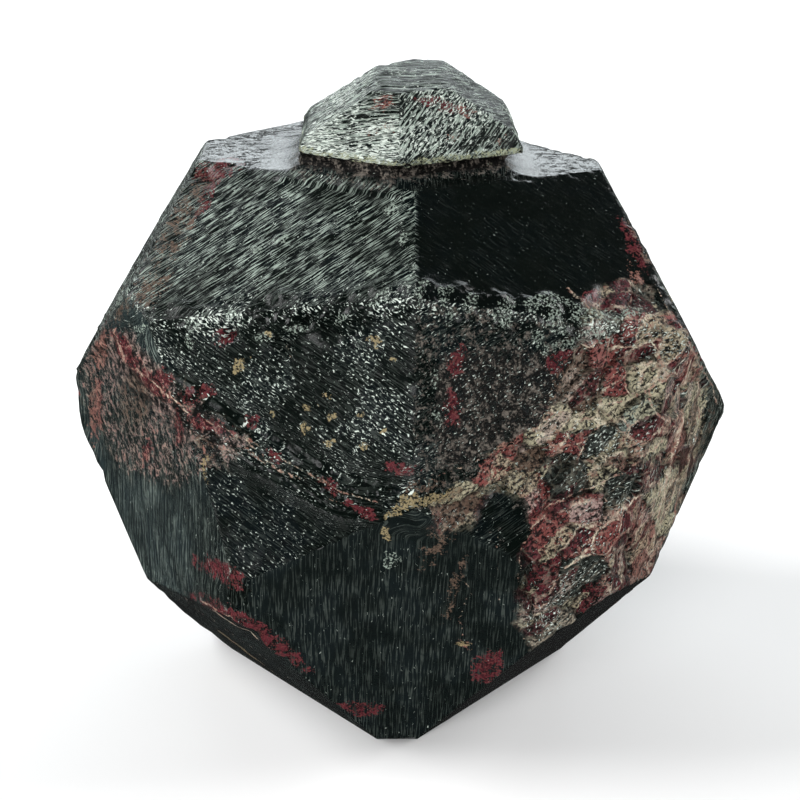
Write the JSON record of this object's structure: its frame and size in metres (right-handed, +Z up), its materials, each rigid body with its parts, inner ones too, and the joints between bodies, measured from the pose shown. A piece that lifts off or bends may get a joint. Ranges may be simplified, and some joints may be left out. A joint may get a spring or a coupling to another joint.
{
  "type": "pyrope garnet crystal",
  "caption": "Dark many-faced garnet crystal with a small crystal of the same kind grown on its top, resting on one lower face.",
  "frame": {"origin": "on the face the crystal rests on, straight below the centre of the main crystal", "axes": "+Z up from the surface it rests on, -Y towards the front ridge that the picture shows, +X to the right in that view"},
  "size_m": [0.0592, 0.0549, 0.0536],
  "materials": {
    "garnet_stone": "glossy, finely striped crystal faces, with rough crust and broken stone in places"
  },
  "bodies": {
    "root": {"garnet_crystal": "garnet_stone"}
  },
  "joints": []
}
